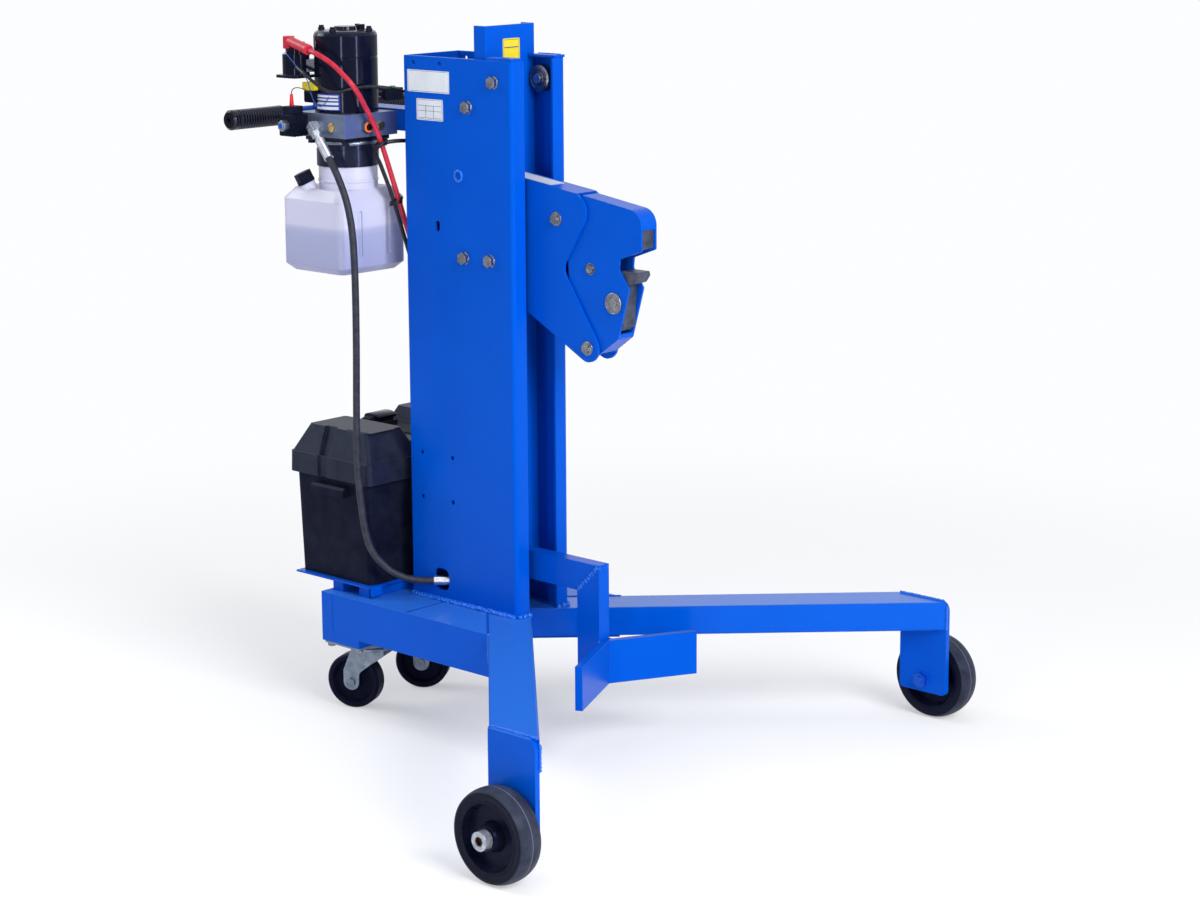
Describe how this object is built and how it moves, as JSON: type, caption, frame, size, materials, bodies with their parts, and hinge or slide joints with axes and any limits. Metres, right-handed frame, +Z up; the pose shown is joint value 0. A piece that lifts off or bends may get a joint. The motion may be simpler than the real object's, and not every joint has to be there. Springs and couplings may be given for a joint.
{
  "type": "drum palletizer",
  "caption": "Portable battery-powered drum lifter: V-leg wheeled base, hydraulic mast, beak clamp for a drum rim and V side brace, with handle and power unit.",
  "frame": {"origin": "on the floor, under the middle of the overall box", "axes": "+X points forward to the drum, +Y to the left of the person at the handle, +Z up"},
  "size_m": [1.0774, 1.204, 1.248],
  "materials": {
    "blue_paint": "gloss powder coat",
    "zinc": "bright zinc plate",
    "roller_steel": "turned",
    "rod_chrome": "polished",
    "black_paint": "gloss enamel",
    "dark_iron": "dark, worn",
    "wheel_rubber": "satin",
    "black_plastic": "moulded, fine grain",
    "block_aluminium": "milled",
    "tank_plastic": "translucent, part filled",
    "brass": "plated",
    "hose_rubber": "satin",
    "red_rubber": "satin",
    "webbing": "woven",
    "green_button": "gloss",
    "red_button": "gloss"
  },
  "bodies": {
    "frame": {"base_box": "blue_paint", "leg_near": "blue_paint", "leg_far": "blue_paint", "wheel_plates": "blue_paint", "mast_side_near": "blue_paint", "mast_side_far": "blue_paint", "mast_back_plate": "blue_paint", "ground_lug": "zinc", "rail_caps": "blue_paint", "roller_bolts": "zinc", "cylinder": "black_paint", "front_axles": "zinc", "caster_plates": "zinc", "manifold": "block_aluminium", "motor": "black_paint", "tank_collar": "black_paint", "tank": "tank_plastic", "solenoid": "black_plastic", "valve_coil": "black_plastic", "port_plugs": "brass", "hose_fittings": "zinc", "hose": "hose_rubber", "cable_boot": "red_rubber", "red_cable": "red_rubber", "ground_cable": "hose_rubber", "control_cable": "hose_rubber", "handle_stem": "blue_paint", "handle_bar": "blue_paint", "grips": "hose_rubber", "switch_box": "black_plastic", "tray": "blue_paint", "battery_box": "black_plastic", "battery_lid": "black_plastic", "battery_strap": "webbing"},
    "carriage": {"carriage": "blue_paint", "lift_rod": "rod_chrome", "arm_channel": "blue_paint", "arm_pins": "zinc", "brace_arm": "blue_paint", "brace_post": "blue_paint", "brace_vee": "blue_paint"},
    "clamp_head": {"clamp_head": "blue_paint", "upper_jaw": "dark_iron", "head_bolts": "zinc"},
    "beak": {"beak": "dark_iron"},
    "wheel_near": {"tyre_near": "wheel_rubber", "hub_near": "black_plastic"},
    "wheel_far": {"tyre_far": "wheel_rubber", "hub_far": "black_plastic"},
    "swivel_near": {"fork_near": "zinc"},
    "swivel_far": {"fork_far": "zinc"},
    "castor_near": {"caster_wheel_near": "wheel_rubber"},
    "castor_far": {"caster_wheel_far": "wheel_rubber"},
    "rollers_top_front": {"roller_top_front": "roller_steel"},
    "rollers_top_rear": {"roller_top_rear": "roller_steel"},
    "rollers_low_rear": {"roller_low_rear": "roller_steel"},
    "rollers_low_front": {"roller_low_front": "roller_steel"},
    "cap": {"filler_cap": "black_plastic"},
    "up_button": {"button_up": "green_button"},
    "down_button": {"button_down": "red_button"}
  },
  "joints": [
    {"name": "lift_slide", "type": "slide", "parent": "frame", "child": "carriage", "axis": [0, 0, 1], "range_m": [0, 0.495]},
    {"name": "head_tilt", "type": "hinge", "parent": "carriage", "child": "clamp_head", "pos_m": [0.15727, 0, 0.7165], "axis": [0, 1, 0], "range_deg": [0, 12]},
    {"name": "beak_hinge", "type": "hinge", "parent": "clamp_head", "child": "beak", "pos_m": [0.21177, 0, 0.798], "axis": [0, 1, 0], "range_deg": [-12, 20]},
    {"name": "wheel_near_spin", "type": "hinge", "parent": "frame", "child": "wheel_near", "pos_m": [0.46253, -0.562, 0.0762], "axis": [0, 1, 0], "continuous": true},
    {"name": "wheel_far_spin", "type": "hinge", "parent": "frame", "child": "wheel_far", "pos_m": [0.46253, 0.562, 0.0762], "axis": [0, 1, 0], "continuous": true},
    {"name": "swivel_near_turn", "type": "hinge", "parent": "frame", "child": "swivel_near", "pos_m": [-0.32473, -0.087, 0.1126], "axis": [0, 0, 1], "continuous": true},
    {"name": "swivel_far_turn", "type": "hinge", "parent": "frame", "child": "swivel_far", "pos_m": [-0.32473, 0.087, 0.1126], "axis": [0, 0, 1], "continuous": true},
    {"name": "castor_near_spin", "type": "hinge", "parent": "swivel_near", "child": "castor_near", "pos_m": [-0.35695, -0.10068, 0.0508], "axis": [-0.3907, 0.9205, 0], "continuous": true},
    {"name": "castor_far_spin", "type": "hinge", "parent": "swivel_far", "child": "castor_far", "pos_m": [-0.35375, 0.06743, 0.0508], "axis": [-0.5592, 0.829, 0], "continuous": true},
    {"name": "rollers_top_front_spin", "type": "hinge", "parent": "frame", "child": "rollers_top_front", "pos_m": [-0.01793, 0, 1.155], "axis": [0, 1, 0], "range_deg": [-8, 1246]},
    {"name": "rollers_top_rear_spin", "type": "hinge", "parent": "frame", "child": "rollers_top_rear", "pos_m": [-0.08053, 0, 1.11], "axis": [0, 1, 0], "range_deg": [-2591, 8]},
    {"name": "rollers_low_rear_spin", "type": "hinge", "parent": "frame", "child": "rollers_low_rear", "pos_m": [-0.09253, 0, 0.85], "axis": [0, 1, 0], "range_deg": [-1246, 8]},
    {"name": "rollers_low_front_spin", "type": "hinge", "parent": "frame", "child": "rollers_low_front", "pos_m": [-0.02993, 0, 0.851], "axis": [0, 1, 0], "range_deg": [-8, 2591]},
    {"name": "cap_turn", "type": "hinge", "parent": "frame", "child": "cap", "pos_m": [-0.40603, -0.1458, 0.963], "axis": [-0.2831, -0.3033, 0.9099], "range_deg": [0, 270]},
    {"name": "up_press", "type": "slide", "parent": "frame", "child": "up_button", "axis": [0, 0, -1], "range_m": [0, 0.0025], "stiffness_N_per_m": 400, "springref_m": -0.001},
    {"name": "down_press", "type": "slide", "parent": "frame", "child": "down_button", "axis": [0, 0, -1], "range_m": [0, 0.0025], "stiffness_N_per_m": 400, "springref_m": -0.001}
  ],
  "couplings": [
    {"joint": "rollers_top_front_spin", "follows": "lift_slide", "rad_per_m": 43.478},
    {"joint": "rollers_top_rear_spin", "follows": "lift_slide", "rad_per_m": -90.909},
    {"joint": "rollers_low_rear_spin", "follows": "lift_slide", "rad_per_m": -43.478},
    {"joint": "rollers_low_front_spin", "follows": "lift_slide", "rad_per_m": 90.909}
  ]
}
